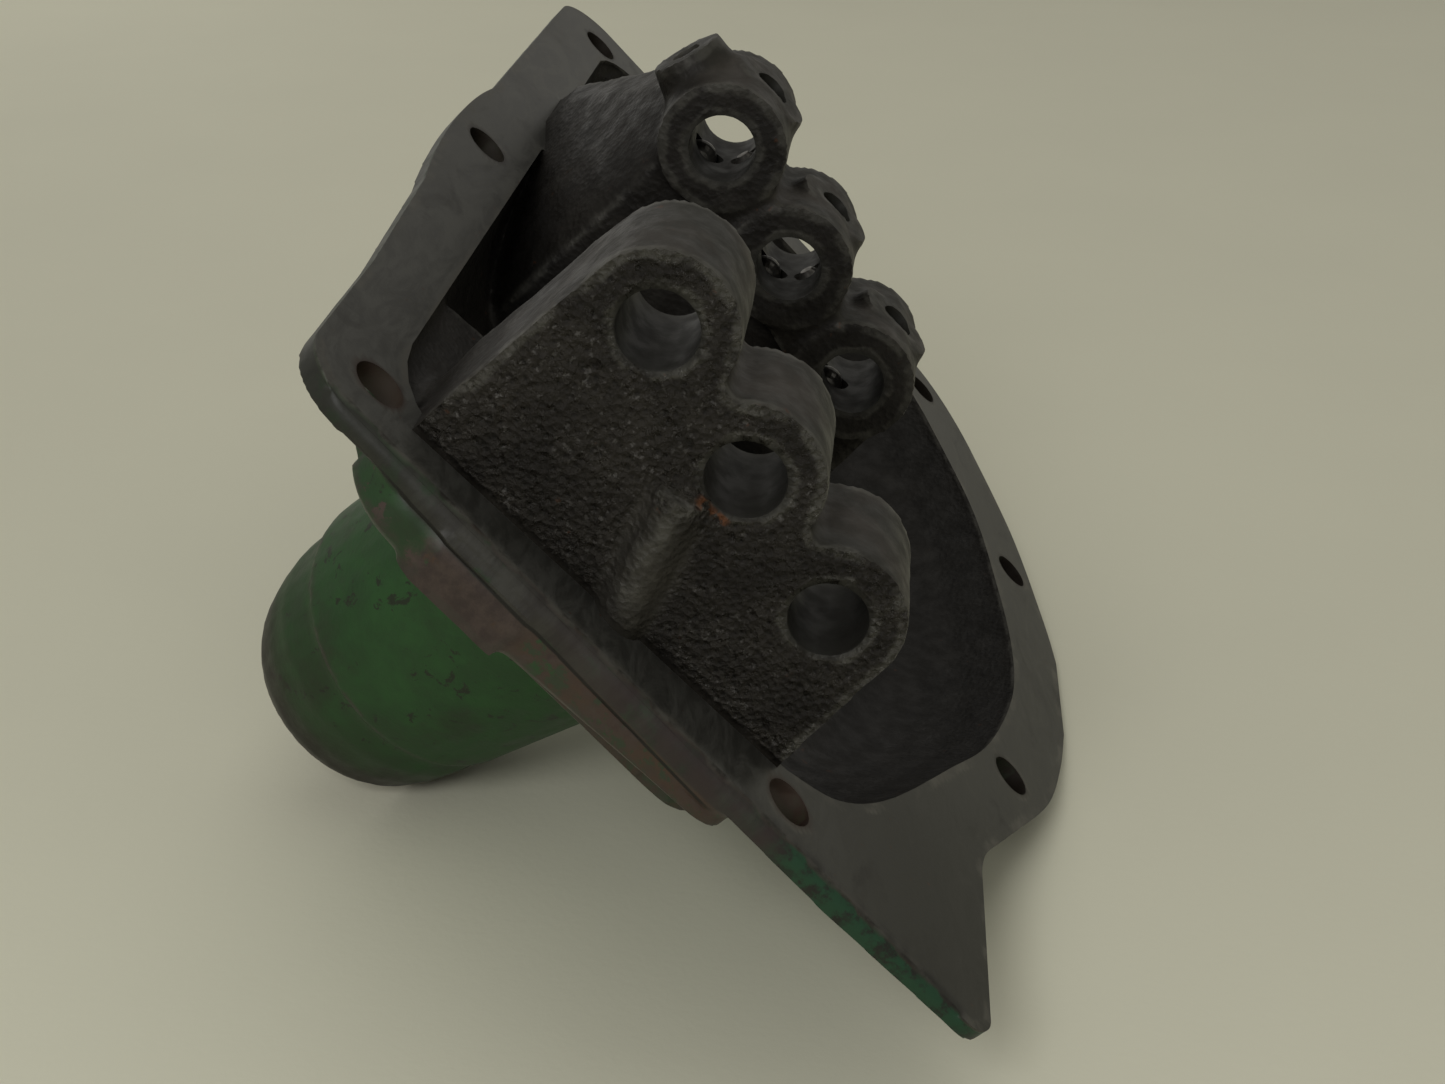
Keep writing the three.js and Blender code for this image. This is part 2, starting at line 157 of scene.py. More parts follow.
# The pan's cavity narrows with depth by these scales of its mouth.
PAN_CENTRE = np.array([-25.0, 180.0])
PAN_FOCUS = np.array([-25.0, 180.0, 80.0])
SECTOR_STEP = 5
SECTOR_HALF = 3
CAVITY_FLOOR = -38.0
CAVITY_DEPTHS = (0, 5, 18, 28, 34)
CAVITY_SCALES = (1, 0.99, 0.94, 0.87, 0.8)
CAVITY_SLACK = 0.035

# The tower, where the skin faces out if it faces away from the tower's axis.
TOWER_TOP = -45
TOWER_REACH = 60
TOWER_END = 150

EDGE_ROUNDS = 2
EDGE_HEIGHT = 0.16


def mesh_arrays(mesh):
    points = np.empty(len(mesh.vertices) * 3)
    mesh.vertices.foreach_get("co", points)
    normals = np.empty(len(mesh.vertices) * 3, np.float32)
    mesh.vertices.foreach_get("normal", normals)
    edges = np.empty(len(mesh.edges) * 2, np.int32)
    mesh.edges.foreach_get("vertices", edges)
    return points.reshape(-1, 3), normals.reshape(-1, 3), edges.reshape(-1, 2)


def put_points(mesh, points):
    mesh.vertices.foreach_set("co", points.astype(np.float32).ravel())
    mesh.update()


def smooth_shaded(mesh):
    mesh.polygons.foreach_set("use_smooth", [True] * len(mesh.polygons))


def radius_along(points, x, z):
    """Distance from a line along y."""
    return np.hypot(points[:, 0] - x, points[:, 2] - z)


def radius_upright(points, x, y):
    """Distance from a line along z."""
    return np.hypot(points[:, 0] - x, points[:, 1] - y)


def neighbour_mean(edges, count):
    """Gives a function that averages, for every point, what its neighbours have."""
    ends = np.concatenate([edges[:, 0], edges[:, 1]])
    others = np.concatenate([edges[:, 1], edges[:, 0]])
    degree = np.maximum(np.bincount(ends, minlength=count), 1)

    def mean(values):
        if values.ndim > 1:
            return np.stack([mean(column) for column in values.T], axis=1)
        return np.bincount(ends, values[others], minlength=count) / degree

    return mean


def machined(points, normals):
    """True at points that a cutter made: gasket face, bores, drillings and spot faces."""
    foot, top = DRILLING_SPAN
    found = (np.abs(points[:, 2]) < FACE_SLACK) & (normals[:, 2] > 0.35)
    for x, z in zip(RAIL_X, RAIL_Z):
        found |= radius_along(points, x, z) < RAIL_RADIUS + BORE_SLACK
        drilling = radius_upright(points, x, DETENT_Y) < DRILLING_REACH
        found |= drilling & (points[:, 2] < z + top) & (points[:, 2] > z + foot)
    for x, y in BOLTS:
        near = radius_upright(points, x, y) < SPOT_FACE_RADIUS + SPOT_SLACK
        found |= near & (points[:, 2] < 1) & (points[:, 2] > -FLANGE_THICKNESS - SPOT_SLACK)
    return found


def smoothed(points, normals, edges, weight, rounds):
    """Fills hollow corners as far as the weight says, and rounds outer edges a little."""
    mean = neighbour_mean(edges, len(points))
    for _ in range(rounds):
        move = mean(points) - points
        hollow = np.einsum("ij,ij->i", move, normals) > 0
        points = points + move * (weight * np.where(hollow, 1.0, CONVEX_SHARE))[:, None]
    return points


def eased_near_edge(points):
    """Rounds the flange's near edge over, and thins its pointed tip from below."""
    place, slope, start = NEAR_EDGE
    inward = points[:, 1] - (place + slope * (points[:, 0] - start))
    down = -points[:, 2]
    away = np.stack([NEAR_EDGE_RADIUS - inward, NEAR_EDGE_RADIUS - down], axis=1)
    reach = np.linalg.norm(away, axis=1)
    corner = ((away > 0).all(axis=1) & (reach > NEAR_EDGE_RADIUS) & (inward > -2)
              & (down > -0.5) & (points[:, 0] < NEAR_EDGE_END))
    pull = (NEAR_EDGE_RADIUS / np.maximum(reach, 1e-6) - 1)[:, None] * away
    eased = points.copy()
    eased[corner, 1] -= pull[corner, 0]
    eased[corner, 2] += pull[corner, 1]
    along = np.clip((eased[:, 0] - TIP_START) / TIP_LENGTH, 0, 1)
    towards_tip = along * (eased[:, 1] < TIP_BACK)
    thinned = (eased[:, 2] < 0) & (eased[:, 2] > -FLANGE_THICKNESS - 0.2)
    eased[:, 2] *= 1 - TIP_THINNING * towards_tip * thinned
    return eased


def creased(points):
    """Cuts the crease between flange and pan on the near side, and narrows the band below."""
    x, y, z = points.T
    left, right = CREASE_ENDS
    near = (y < 10) & (x > left) & (x < right)
    away = np.abs(z - np.interp(x, *CREASE))
    depth = np.where(near, np.clip(1 - away / CREASE_WIDTH, 0, 1), 0)
    band = (y < 8) & (z < BAND_TOP) & (z > BAND_FOOT) & (x < -5)
    narrowed = BAND_TOP + (z - BAND_TOP) * np.interp(x, *BAND_TAPER)
    return np.stack([x, y + CREASE_DEPTH * depth, np.where(band, narrowed, z)], axis=1)


def waves(points, size):
    return np.array([noise.noise(Vector(p) / size) for p in points])


def mouth_radius(points, normals):
    """How far each point and the pan's mouth beyond it are from the pan's centre."""
    from_centre = points[:, :2] - PAN_CENTRE
    angle = np.degrees(np.arctan2(from_centre[:, 1], from_centre[:, 0]))
    reach = np.linalg.norm(from_centre, axis=1)
    on_face = (np.abs(points[:, 2]) < 0.3) & (normals[:, 2] > 0.9)
    sectors = np.arange(-180, 181, SECTOR_STEP)
    mouth = [reach[on_face & (np.abs(angle - sector) < SECTOR_HALF)].min()
             for sector in sectors]
    return reach, np.interp(angle, sectors, mouth)


def convexity(points, normals, edges):
    """From 0 on flat or hollow skin to 1 on its sharp outer edges."""
    mean = neighbour_mean(edges, len(points))
    value = -np.einsum("ij,ij->i", mean(points) - points, normals)
    for _ in range(EDGE_ROUNDS):
        value = 0.5 * value + 0.5 * mean(value)
    return np.clip(value / EDGE_HEIGHT, 0, 1)


def outside_of_pan(points, normals):
    """1 where the skin faces out of the pan or the tower, 0 inside them and on the walls."""
    facing_out = np.einsum("ij,ij->i", normals, points - PAN_FOCUS) > 0
    along = (points - TOWER_FOOT) @ TOWER_WAY
    spokes = points - TOWER_FOOT - along[:, None] * TOWER_WAY
    tower = (points[:, 2] < TOWER_TOP) & (np.linalg.norm(spokes, axis=1) < TOWER_REACH)
    from_axis = np.einsum("ij,ij->i", normals, spokes) > 0
    facing_out = np.where(tower, from_axis | (along > TOWER_END), facing_out)
    reach, mouth = mouth_radius(points, normals)
    narrowing = np.interp(-points[:, 2], CAVITY_DEPTHS, CAVITY_SCALES)
    beyond_mouth = reach > mouth * (narrowing + CAVITY_SLACK)
    facing_out &= (points[:, 2] < CAVITY_FLOOR) | beyond_mouth
    return (facing_out & (points[:, 2] < -0.6)).astype(np.float32)


def remeshed(node):
    """The node's shape in the machining frame, as one even mesh."""
    source = node.data.copy()
    points, _, _ = mesh_arrays(source)
    put_points(source, to_machining(points))
    draft = add("draft", source)
    remesh = draft.modifiers.new("skin", "REMESH")
    remesh.mode = "SHARP"
    remesh.octree_depth = REMESH_DEPTH
    remesh.scale = REMESH_SCALE
    remesh.use_remove_disconnected = False
    skin = bpy.data.meshes.new_from_object(
        draft.evaluated_get(bpy.context.evaluated_depsgraph_get()))
    bpy.data.objects.remove(draft)
    return skin


def skin_casting(node):
    skin = remeshed(node)
    points, normals, edges = mesh_arrays(skin)
    cut = machined(points, normals)
    weight = np.where(cut, 0.0, FILLET_WEIGHT)
    points = smoothed(points, normals, edges, weight, FILLET_ROUNDS)
    put_points(skin, creased(eased_near_edge(points)))
    points, normals, _ = mesh_arrays(skin)
    rough = np.where(cut, 0.0, 1.0) * (1 - PAINT_COVER * outside_of_pan(points, normals))
    relief = sum(depth * waves(points, size) for depth, size in (CAST_WAVE, CAST_PEBBLE))
    points = points + normals * (rough * relief)[:, None]
    put_points(skin, np.clip(to_row(points), np.array(cad_box[0]), np.array(cad_box[1])))

    at_bolt = sum(radius_upright(points, x, y) < BOLT_WALL_RADIUS for x, y in BOLTS)
    at_flange = np.abs(points[:, 2] + BOLT_WALL_MIDDLE) < BOLT_WALL_HALF
    for name, values in (("outside", outside_of_pan(points, normals)),
                         ("hole", at_bolt.astype(bool) & at_flange),
                         ("cut", cut),
                         ("edge", convexity(points, normals, edges))):
        layer = skin.attributes.new(name, "FLOAT", "POINT")
        layer.data.foreach_set("value", np.asarray(values, np.float32))
    smooth_shaded(skin)
    skin.set_sharp_from_angle(angle=SHARP_ANGLE)
    skin.materials.clear()
    return add("casting_skin", skin)


# ---- materials: the nodes -----------------------------------------------------------------


class Shader:
    """A node material under construction, with one method for each kind of node it uses."""

    def __init__(self, name):
        self.material = bpy.data.materials.new(name)
        self.material.use_nodes = True
        self.tree = self.material.node_tree
        self.surface = self.tree.nodes["Principled BSDF"]
        place = self.node("ShaderNodeMapping", vector_type="TEXTURE")
        place.inputs["Location"].default_value = origin
        place.inputs["Rotation"].default_value = Euler((0, TURN, 0))
        place.inputs["Scale"].default_value = (MM, MM, MM)
        texture = self.node("ShaderNodeTexCoord")
        self.link(texture.outputs["Object"], place.inputs["Vector"])
        self.point = place.outputs["Vector"]
        facing = self.node("ShaderNodeMapping", vector_type="TEXTURE")
        facing.inputs["Rotation"].default_value = Euler((0, TURN, 0))
        self.link(texture.outputs["Normal"], facing.inputs["Vector"])
        self.normal = facing.outputs["Vector"]

    def node(self, kind, **settings):
        made = self.tree.nodes.new(kind)
        for name, value in settings.items():
            setattr(made, name, value)
        return made

    def link(self, output, socket):
        self.tree.links.new(output, socket)

    def feed(self, socket, value):
        if isinstance(value, bpy.types.NodeSocket):
            self.link(value, socket)
        else:
            socket.default_value = value

    def parts(self, vector):
        split = self.node("ShaderNodeSeparateXYZ")
        self.link(vector, split.inputs[0])
        return split.outputs

    def math(self, operation, *values):
        made = self.node("ShaderNodeMath", operation=operation)
        for socket, value in zip(made.inputs, values):
            self.feed(socket, value)
        return made.outputs[0]

    def times(self, first, second):
        return self.math("MULTIPLY", first, second)

    def plus(self, first, second):
        return self.math("ADD", first, second)

    def most(self, first, second):
        return self.math("MAXIMUM", first, second)

    def size(self, value):
        return self.math("ABSOLUTE", value)

    def inverse(self, value):
        return self.math("SUBTRACT", 1.0, value)

    def distance(self, value, place):
        return self.size(self.math("SUBTRACT", value, place))

    def step(self, value, low_end, high_end, to_low=0.0, to_high=1.0):
        """A smooth rise of value from low_end to high_end, or a fall if they are swapped."""
        made = self.node("ShaderNodeMapRange", interpolation_type="SMOOTHSTEP")
        if low_end > high_end:
            low_end, high_end, to_low, to_high = high_end, low_end, to_high, to_low
        for name, number in (("From Min", low_end), ("From Max", high_end),
                             ("To Min", to_low), ("To Max", to_high)):
            made.inputs[name].default_value = number
        self.link(value, made.inputs["Value"])
        return made.outputs[0]

    def stretched(self, scale):
        made = self.node("ShaderNodeVectorMath", operation="MULTIPLY")
        self.link(self.point, made.inputs[0])
        made.inputs[1].default_value = scale
        return made.outputs[0]

    def cloud(self, size, detail=4.0, rough=0.55, stretch=None, warp=0.0):
        """Noise from 0 to 1 whose blobs are about that many millimetres across."""
        made = self.node("ShaderNodeTexNoise")
        made.inputs["Scale"].default_value = 1 / size
        made.inputs["Detail"].default_value = detail
        made.inputs["Roughness"].default_value = rough
        made.inputs["Distortion"].default_value = warp
        self.link(self.stretched(stretch) if stretch else self.point, made.inputs["Vector"])
        return made.outputs[0]

    def cells(self, size):
        """Distance from the middle of cells about that many millimetres across."""
        made = self.node("ShaderNodeTexVoronoi", feature="F1")
        made.inputs["Scale"].default_value = 1 / size
        self.link(self.point, made.inputs["Vector"])
        return made.outputs["Distance"]

    def blend(self, factor, first, second):
        """A mix of two colours, each a triple of linear numbers or an output."""
        made = self.node("ShaderNodeMix", data_type="RGBA")
        self.feed(made.inputs["Factor"], factor)
        for socket, colour in ((made.inputs[6], first), (made.inputs[7], second)):
            self.feed(socket, (*colour, 1.0) if isinstance(colour, tuple) else colour)
        return made.outputs[2]

    def between(self, factor, first, second):
        """A mix of two numbers."""
        made = self.node("ShaderNodeMix", data_type="FLOAT")
        self.feed(made.inputs[0], factor)
        self.feed(made.inputs[2], first)
        self.feed(made.inputs[3], second)
        return made.outputs[0]

    def attribute(self, name):
        return self.node("ShaderNodeAttribute", attribute_name=name).outputs["Fac"]

    def bump(self, height, distance, below=None):
        made = self.node("ShaderNodeBump")
        made.inputs["Strength"].default_value = 1.0
        made.inputs["Distance"].default_value = distance
        self.link(height, made.inputs["Height"])
        if below is not None:
            self.link(below, made.inputs["Normal"])
        return made.outputs[0]

    def finish(self, colour, roughness, metallic, normal, specular=0.5):
        self.feed(self.surface.inputs["Base Color"], colour)
        self.feed(self.surface.inputs["Roughness"], roughness)
        self.feed(self.surface.inputs["Metallic"], metallic)
        self.feed(self.surface.inputs["Normal"], normal)
        self.surface.inputs["Specular IOR Level"].default_value = specular
        return self.material


# ---- materials: the casting ---------------------------------------------------------------

# Linear colours. A pair holds the two ends of a cloudy mix.
IRON = (0.0145, 0.0125, 0.0102), (0.030, 0.0265, 0.0215)
# Up-facing iron: partly dust, partly a painted top light.
IRON_DUST_AND_TOP_LIGHT = (0.036, 0.036, 0.027), (0.052, 0.044, 0.035)
# Painted shade for the pits of the grain bump.
IRON_PIT_SHADE = (0.0062, 0.0054, 0.0048)
# Painted shade for the far wall.
IRON_FAR_SHADE = (0.0055, 0.0048, 0.0042)
# Painted shade inside the pan's cavity.
IRON_CAVITY_SHADE = (0.0075, 0.0068, 0.0057)
# Painted glints: bright specks standing in for specular highlights.
IRON_PAINTED_GLINTS = (0.11, 0.105, 0.098)
# Painted sheen on the rib.
IRON_RIB_SHEEN = (0.034, 0.032, 0.026)
IRON_WORN = (0.095, 0.092, 0.078)
IRON_BORED = (0.026, 0.0255, 0.0215)
RUST = (0.075, 0.028, 0.012)
RUST_SCRAPE = (0.105, 0.042, 0.018)
RUST_RIM = (0.13, 0.052, 0.018)
FACE = (0.056, 0.055, 0.049), (0.106, 0.105, 0.095)
FACE_TIP = (0.021, 0.0205, 0.0165), (0.034, 0.034, 0.0275)
FACE_STAIN = (0.036, 0.034, 0.029)
FACE_RIGHT = (0.036, 0.036, 0.029)
FACE_NEAR = (0.036, 0.035, 0.029)
FACE_EDGE = (0.082, 0.078, 0.066)
FACE_SMEAR = (0.022, 0.020, 0.017)
GREEN = (0.0112, 0.047, 0.0115), (0.0185, 0.071, 0.0175)
GREEN_GRIME = (0.016, 0.026, 0.0115)
GREEN_NOSE = (0.015, 0.024, 0.0105)
GREEN_CHIPS = (0.0115, 0.0105, 0.008)
BAND_PURPLE = (0.030, 0.0205, 0.0175), (0.052, 0.037, 0.030)
BAND_ORANGE = (0.052, 0.030, 0.018), (0.034, 0.026, 0.018)
BAND_FLECKS = (0.026, 0.036, 0.019)
BAND_GREEN = (0.017, 0.026, 0.014)
PAINT_WORN = (0.036, 0.031, 0.024)
SIDE = (0.0175, 0.0165, 0.0135), (0.034, 0.034, 0.0275)
SIDE_GREEN = (0.0165, 0.034, 0.0145)
SIDE_PURPLE = (0.026, 0.0175, 0.0165)
SIDE_CORNER = (0.013, 0.015, 0.0105)
SIDE_TIP = (0.0115, 0.0125, 0.0090), (0.011, 0.044, 0.020)
TOWER_RIM = (0.0135, 0.0105, 0.0078)
# Painted shade along the crease between flange and pan.
CREASE_SHADE = (0.004, 0.0036, 0.003)
HOLE_WALL = (0.016, 0.0115, 0.0085), (0.036, 0.021, 0.0155)

# Lines on the casting: x + slope z + offset = 0 along the near wall's rib, and
# z + offset + slope x = 0 along the crease. The scrape is at this x and z.
RIB_LINE = (0.37, 59.5)
CREASE_LINE = (9.55, 0.0275)
SCRAPE = (-64.5, 36.6)

FINE_GRAIN = 0.00010
CAST_GRAIN = 0.0031


def casting_places(s):
    """Masks from 0 to 1 that say where on the casting a point is and how worn it is there."""
    at = SimpleNamespace()
    at.x, at.y, at.z = s.parts(s.point)
    _, facing_y, at.facing_z = s.parts(s.normal)
    at.outside = s.attribute("outside")
    at.on_face = s.times(s.step(at.facing_z, 0.93, 0.97), s.step(s.size(at.z), 0.6, 0.3))
    at.in_cavity = s.times(s.step(at.z, 2.0, -6.0), s.step(at.outside, 0.6, 0.4))
    at.near_wall = s.step(at.y, 75.0, 60.0)
    front = s.times(s.step(facing_y, -0.35, -0.75), s.step(at.z, -2.0, 4.0))
    front = s.times(front, at.near_wall)
    slope, offset = RIB_LINE
    from_rib = s.size(s.plus(at.x, s.plus(s.times(at.z, slope), offset)))
    at.on_rib = s.times(s.step(from_rib, 11.0, 7.0),
                        s.times(s.step(at.z, 36.0, 26.0), at.near_wall))
    at.pebbled = s.times(front, s.inverse(s.times(at.on_rib, 0.8)))
    at.wear = s.times(s.step(s.attribute("edge"), 0.15, 0.6),
                      s.step(s.cloud(7.0, detail=6.0, rough=0.65), 0.35, 0.6))
    return at


def cast_iron(s, at):
    """Sand-cast iron: oily brown-black with glinting grains, a little lighter on top from dust
    and a painted top light, with painted shade, glints and sheen in places.
    """
    at.grains = s.between(0.45, s.cloud(1.6, detail=4.0, rough=0.65), s.cells(1.9))
    at.mottle = s.cloud(16.0, detail=6.0, rough=0.6)
    iron = s.blend(s.step(at.mottle, 0.35, 0.7), *IRON)
    # Up-facing iron is lightened: partly dust, partly a painted top light.
    at.dust = s.times(s.step(at.facing_z, 0.1, 0.9), s.step(at.z, 5.0, 30.0))
    iron = s.blend(s.times(at.dust, 0.4), iron,
                   s.blend(s.step(at.mottle, 0.4, 0.6), *IRON_DUST_AND_TOP_LIGHT))
    # Painted shade in the low points of the grain bump on the pebbled wall.
    pit_shade = s.times(at.pebbled, s.step(at.grains, 0.44, 0.30, 0.0, 0.6))
    iron = s.blend(pit_shade, iron, IRON_PIT_SHADE)
    # Painted shade: iron away from the near wall that does not face up is darkened.
    far_shade = s.times(s.inverse(at.near_wall), s.step(at.facing_z, 0.7, 0.2))
    iron = s.blend(s.times(far_shade, 0.45), iron, IRON_FAR_SHADE)
    # Painted shade inside the pan's cavity.
    iron = s.blend(s.times(at.in_cavity, 0.7), iron, IRON_CAVITY_SHADE)
    # Painted glints: bright specks in the base colour of the pebbled wall.
    painted_glints = s.times(s.step(s.cloud(1.7, detail=3.0, rough=0.6), 0.60, 0.66),
                     s.step(at.mottle, 0.35, 0.6))
    iron = s.blend(s.times(s.times(painted_glints, at.pebbled), 0.6), iron, IRON_PAINTED_GLINTS)
    # Painted sheen: the rib is lightened.
    iron = s.blend(s.times(at.on_rib, 0.4), iron, IRON_RIB_SHEEN)
    iron = s.blend(s.times(at.wear, s.between(at.near_wall, 0.4, 0.65)), iron, IRON_WORN)
    rust_spots = s.step(s.cloud(4.0, detail=3.0), 0.70, 0.76)
    iron = s.blend(s.times(rust_spots, 0.45), iron, RUST)
    scrape_x, scrape_z = SCRAPE
    scrape = s.times(
        s.times(s.step(s.distance(at.x, scrape_x), 5.5, 3.5),
                s.step(s.distance(at.z, scrape_z), 1.5, 0.6)),
        s.times(at.near_wall, s.step(s.cloud(2.5, detail=4.0, rough=0.7), 0.42, 0.52)))
    iron = s.blend(s.times(scrape, at.pebbled), iron, RUST_SCRAPE)
    bored = s.times(s.attribute("cut"), s.step(at.z, 3.0, 6.0))
    return s.blend(s.times(bored, 0.75), iron, IRON_BORED)


def gasket_face(s, at):
    """Bare grey iron, wiped and stained, with fine swirls and pin-head rust."""
    at.swirl = s.cloud(9.0, detail=8.0, rough=0.72, stretch=(1.0, 0.35, 1.0), warp=1.4)
    stain = s.cloud(38.0, detail=5.0, rough=0.6)
    face = s.blend(s.step(at.swirl, 0.38, 0.62), *FACE)
    face = s.blend(s.step(stain, 0.5, 0.75, 0.0, 0.6), face, FACE_STAIN)
    towards_tip = s.times(s.step(at.x, -20.0, 50.0), s.step(at.y, 120.0, 20.0))
    face = s.blend(s.times(towards_tip, 0.8), face,
                   s.blend(s.step(at.swirl, 0.4, 0.65), *FACE_TIP))
    face = s.blend(s.times(s.step(at.x, 30.0, 90.0), 0.5), face, FACE_RIGHT)
    face = s.blend(s.times(s.step(at.y, 240.0, 200.0), 0.3), face, FACE_NEAR)
    face = s.blend(s.step(s.cloud(3.0, detail=2.0), 0.72, 0.77, 0.0, 0.7), face, RUST)
    worn = s.times(s.step(s.attribute("edge"), 0.1, 0.7), s.step(at.mottle, 0.45, 0.6))
    face = s.blend(worn, face, FACE_EDGE)
    smear = s.cloud(17.0, detail=7.0, rough=0.62, stretch=(1.0, 0.6, 1.0), warp=0.8)
    return s.blend(s.step(smear, 0.56, 0.72, 0.0, 0.55), face, FACE_SMEAR)


def outer_paint(s, at):
    """Green paint, scuffed and grimy, over a red-brown band under the flange."""
    x, y, z = at.x, at.y, at.z
    at.patch = s.cloud(13.0, detail=7.0, rough=0.65)
    chips = s.cloud(5.5, detail=6.0, rough=0.7)
    down_tower = s.math("SUBTRACT", s.times(y, TOWER_SLOPE), z)
    green = s.blend(s.step(at.patch, 0.35, 0.7), *GREEN)
    grime = s.step(s.cloud(24.0, detail=6.0, rough=0.62), 0.50, 0.72, 0.0, 0.75)
    green = s.blend(grime, green, GREEN_GRIME)
    nose = s.times(s.step(down_tower, 134.0, 150.0), s.step(at.mottle, 0.3, 0.6, 0.05, 0.5))
    green = s.blend(nose, green, GREEN_NOSE)
    dark_chips = s.step(s.cloud(8.0, detail=5.0, rough=0.72, warp=0.6), 0.595, 0.63)
    green = s.blend(s.times(dark_chips, 0.8), green, GREEN_CHIPS)

    purple = s.blend(s.step(chips, 0.35, 0.65), *BAND_PURPLE)
    orange = s.blend(s.step(chips, 0.4, 0.7), *BAND_ORANGE)
    near_band = s.times(s.step(z, -40.0, -30.0), s.step(y, 60.0, 20.0))
    beyond_pad = s.step(x, -78.0, -72.0)
    rusty = s.most(s.step(s.cloud(9.0, detail=6.0, rough=0.7), 0.55, 0.66),
                   s.times(beyond_pad, s.step(at.mottle, 0.35, 0.6)))
    band = s.blend(rusty, purple, orange)
    flecks = s.times(beyond_pad, s.step(s.cloud(4.0, detail=6.0, rough=0.7), 0.52, 0.6))
    band = s.blend(flecks, band, BAND_FLECKS)
    bare_low = s.times(near_band, s.step(s.plus(x, s.times(at.patch, 24.0)), -98.0, -90.0))
    lost = s.most(s.times(near_band, s.step(chips, 0.56, 0.62)),
                  s.times(bare_low, s.step(at.patch, 0.62, 0.56)))
    band_green = s.blend(s.times(near_band, 0.45), green, BAND_GREEN)
    paint = s.blend(lost, band_green, band)
    paint = s.blend(s.times(at.wear, s.step(z, -9.0, -14.0, 0.0, 0.7)), paint, PAINT_WORN)

    on_side = s.times(s.step(z, -8.2, -6.8), at.outside)
    streaks = s.cloud(5.0, detail=6.0, rough=0.7, stretch=(1.0, 0.25, 0.25))
    side = s.blend(s.step(streaks, 0.35, 0.65), *SIDE)
    side = s.blend(s.times(s.step(at.patch, 0.50, 0.60), s.step(x, -20.0, -70.0, 0.2, 0.9)),
                   side, SIDE_GREEN)
    side = s.blend(s.times(s.step(at.patch, 0.62, 0.40), s.step(x, -90.0, -40.0, 0.1, 0.85)),
                   side, SIDE_PURPLE)
    side = s.blend(s.step(x, -100.0, -125.0, 0.0, 0.6), side, SIDE_CORNER)
    tip_paint = s.blend(s.step(chips, 0.40, 0.55), *SIDE_TIP)
    side = s.blend(s.step(x, -4.0, 6.0), side, tip_paint)
    paint = s.blend(on_side, paint, side)

    rim = s.step(s.plus(down_tower, s.times(at.patch, 20.0)), 170.0, 190.0, 0.0, 0.92)
    paint = s.blend(rim, paint, TOWER_RIM)
    rim_rust = s.times(s.step(down_tower, 184.5, 187.5), s.step(chips, 0.45, 0.6))
    paint = s.blend(s.times(rim_rust, 0.8), paint, RUST_RIM)
    # Painted shade: a dark line along the crease between flange and pan.
    offset, slope = CREASE_LINE
    from_crease = s.size(s.plus(s.plus(z, offset), s.times(x, slope)))
    crease = s.times(s.times(s.step(from_crease, 0.75, 0.3), s.step(y, 20.0, 12.0)),
                     s.times(s.step(x, -136.0, -132.0), s.step(x, -14.0, -20.0)))
    return s.blend(s.times(crease, 0.9), paint, CREASE_SHADE)


def casting_material():
    s = Shader("worn_casting")
    at = casting_places(s)
    iron = cast_iron(s, at)
    face = gasket_face(s, at)
    paint = outer_paint(s, at)

    colour = s.blend(at.on_face, s.blend(at.outside, iron, paint), face)
    colour = s.blend(s.times(s.attribute("hole"), 0.8), colour,
                     s.blend(s.step(at.y, 40.0, 10.0), *HOLE_WALL))

    glint = s.step(s.cloud(2.4, detail=3.0, rough=0.65), 0.50, 0.60, 0.60, 0.22)
    rough_iron = s.between(at.pebbled, s.step(s.cloud(6.0), 0.3, 0.7, 0.46, 0.66), glint)
    rough_cast = s.between(at.outside, rough_iron, s.step(at.patch, 0.3, 0.7, 0.42, 0.58))
    roughness = s.between(at.on_face, rough_cast, s.step(at.swirl, 0.3, 0.7, 0.38, 0.52))
    metallic = s.between(at.on_face, s.between(at.outside, 0.35, 0.0), 0.55)

    scuffs = s.times(s.cloud(1.1, detail=4.0, rough=0.7), s.between(at.pebbled, 0.3, 1.0))
    fine = s.bump(scuffs, FINE_GRAIN)
    lumps = s.times(at.grains, s.between(at.pebbled, s.between(at.dust, 0.12, 0.03), 1.0))
    smooth = s.most(s.most(at.on_face, s.attribute("cut")), s.times(at.outside, 0.8))
    normal = s.bump(s.times(lumps, s.inverse(smooth)), CAST_GRAIN, below=fine)
    return s.finish(colour, roughness, metallic, normal, specular=0.3)


# ---- small pieces -------------------------------------------------------------------------

# The bright and the dull tone of each steel, and how rough it is where it is brightest.
BALL_STEEL = ("ball_steel", (0.16, 0.155, 0.14), (0.08, 0.076, 0.066), 0.3)
SPRING_STEEL = ("spring_steel", (0.20, 0.19, 0.18), (0.10, 0.09, 0.08), 0.35)
PIN_STEEL = ("pin_steel", (0.22, 0.21, 0.19), (0.12, 0.11, 0.095), 0.34)
PLUG_STEEL = ("plug_steel", (0.22, 0.21, 0.19), (0.10, 0.08, 0.06), 0.45)


def steel_material(name, light, dark, roughness):
    s = Shader(name)
    film = s.cloud(3.0, detail=5.0)
    colour = s.blend(s.step(film, 0.4, 0.7), light, dark)
    normal = s.bump(s.cloud(0.5, detail=4.0), 0.00002)
    return s.finish(colour, s.step(film, 0.3, 0.7, roughness, roughness + 0.15), 0.9, normal)


def finished(mesh, material):
    mesh.materials.clear()
    mesh.materials.append(material)
    smooth_shaded(mesh)


def coil(index, material):
    """A detent spring, copied from its CAD node and carried by the casting."""
    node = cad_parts[f"detent_spring_{index}"]
    mesh = node.data.copy()
    mesh.transform(node.matrix_world)
    finished(mesh, material)
    piece = add(f"detent_coil_{index}", mesh)
    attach(piece, "casting")
    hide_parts(node.name)
    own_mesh(piece)


# ---- stage --------------------------------------------------------------------------------

